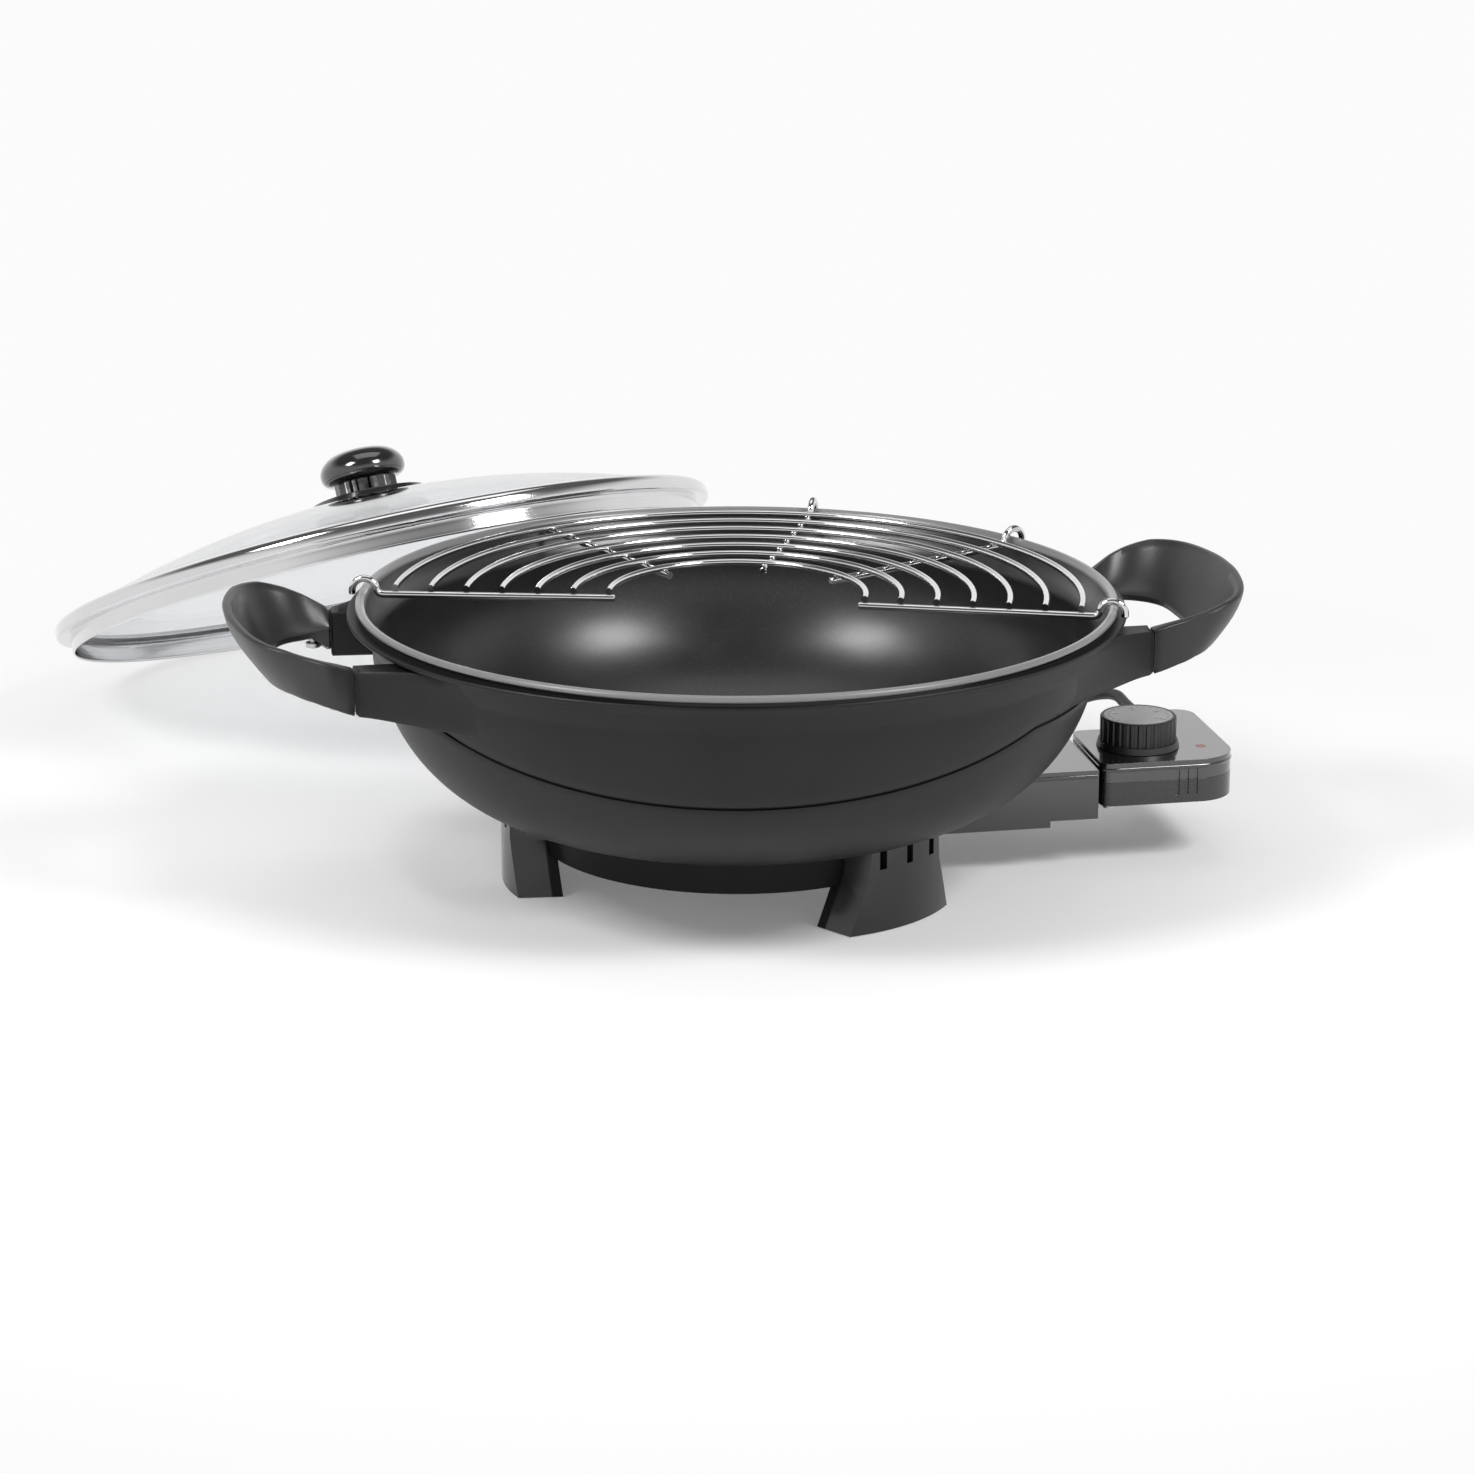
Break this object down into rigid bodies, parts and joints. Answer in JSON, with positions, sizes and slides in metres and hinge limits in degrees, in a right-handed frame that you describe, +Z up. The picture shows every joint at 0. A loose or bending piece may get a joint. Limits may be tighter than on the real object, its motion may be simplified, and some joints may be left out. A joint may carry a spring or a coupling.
{
  "type": "electric wok",
  "caption": "Deep round electric wok on a footed base with two loop handles, a half-ring wire drip rack, a loose domed glass lid and a plug-in heat control with a dial and cord.",
  "frame": {"origin": "on the wok's axis, at the table, level with the undersides of the three feet", "axes": "+Z up along the wok's axis; +X along the handles, towards the heat control; +Y to the back, where the lid leans"},
  "size_m": [0.5622, 0.6723, 0.1574],
  "materials": {
    "coated_aluminium": "satin black non-stick coating over cast aluminium",
    "black_plastic": "satin moulded phenolic",
    "gloss_black": "glossy moulded plastic",
    "steel": "plain steel",
    "bright_steel": "polished stainless steel",
    "chrome_wire": "chrome-plated wire",
    "aluminium": "plain",
    "element_sheath": "heat-tinted sheath",
    "ceramic": "glazed ceramic",
    "brass": "plain",
    "lid_glass": "clear tempered glass",
    "red_lens": "clear red lens",
    "silver_print": "silver face with dark marks",
    "black_rubber": "matte"
  },
  "bodies": {
    "wok": {"pan": "coated_aluminium", "handle_left": "black_plastic", "handle_right": "black_plastic", "handle_screws": "steel", "heating_element": "element_sheath", "terminal_pins": "steel", "pin_insulators": "ceramic", "probe_sleeve": "aluminium", "base_ring": "black_plastic", "heat_shield": "aluminium", "shield_screws": "steel", "socket_guard": "black_plastic", "guard_screws": "steel"},
    "rack": {"rack_arcs": "chrome_wire", "rack_spokes": "chrome_wire"},
    "lid": {"lid_glass": "lid_glass", "lid_band": "bright_steel", "knob_cap": "black_plastic", "knob_pillars": "black_plastic", "knob_flange": "black_plastic", "knob_washer": "steel", "knob_screw": "steel"},
    "control": {"case_lower": "black_plastic", "case_upper": "gloss_black", "case_screws": "steel", "probe_rod": "steel", "receptacles": "brass", "thermostat_frame": "steel", "contact_blade": "brass", "indicator_lens": "red_lens", "cord_gland": "black_rubber", "mains_cord": "black_rubber", "cord_coil": "black_rubber", "mains_plug": "black_rubber", "plug_pins": "brass"},
    "dial": {"dial_knob": "black_plastic", "dial_plate": "silver_print", "dial_spindle": "steel"}
  },
  "joints": [
    {"name": "lid_lift", "type": "slide", "parent": "wok", "child": "lid", "axis": [0, 0, 1], "range_m": [0, 0.2]},
    {"name": "rack_lift", "type": "slide", "parent": "wok", "child": "rack", "axis": [0, 0, 1], "range_m": [0, 0.15]},
    {"name": "control_unplug", "type": "slide", "parent": "wok", "child": "control", "axis": [1, 0, 0], "range_m": [0, 0.12]},
    {"name": "dial_turn", "type": "hinge", "parent": "control", "child": "dial", "pos_m": [0.202, 0, 0.06], "axis": [0, 0, -1], "range_deg": [0, 270]}
  ]
}
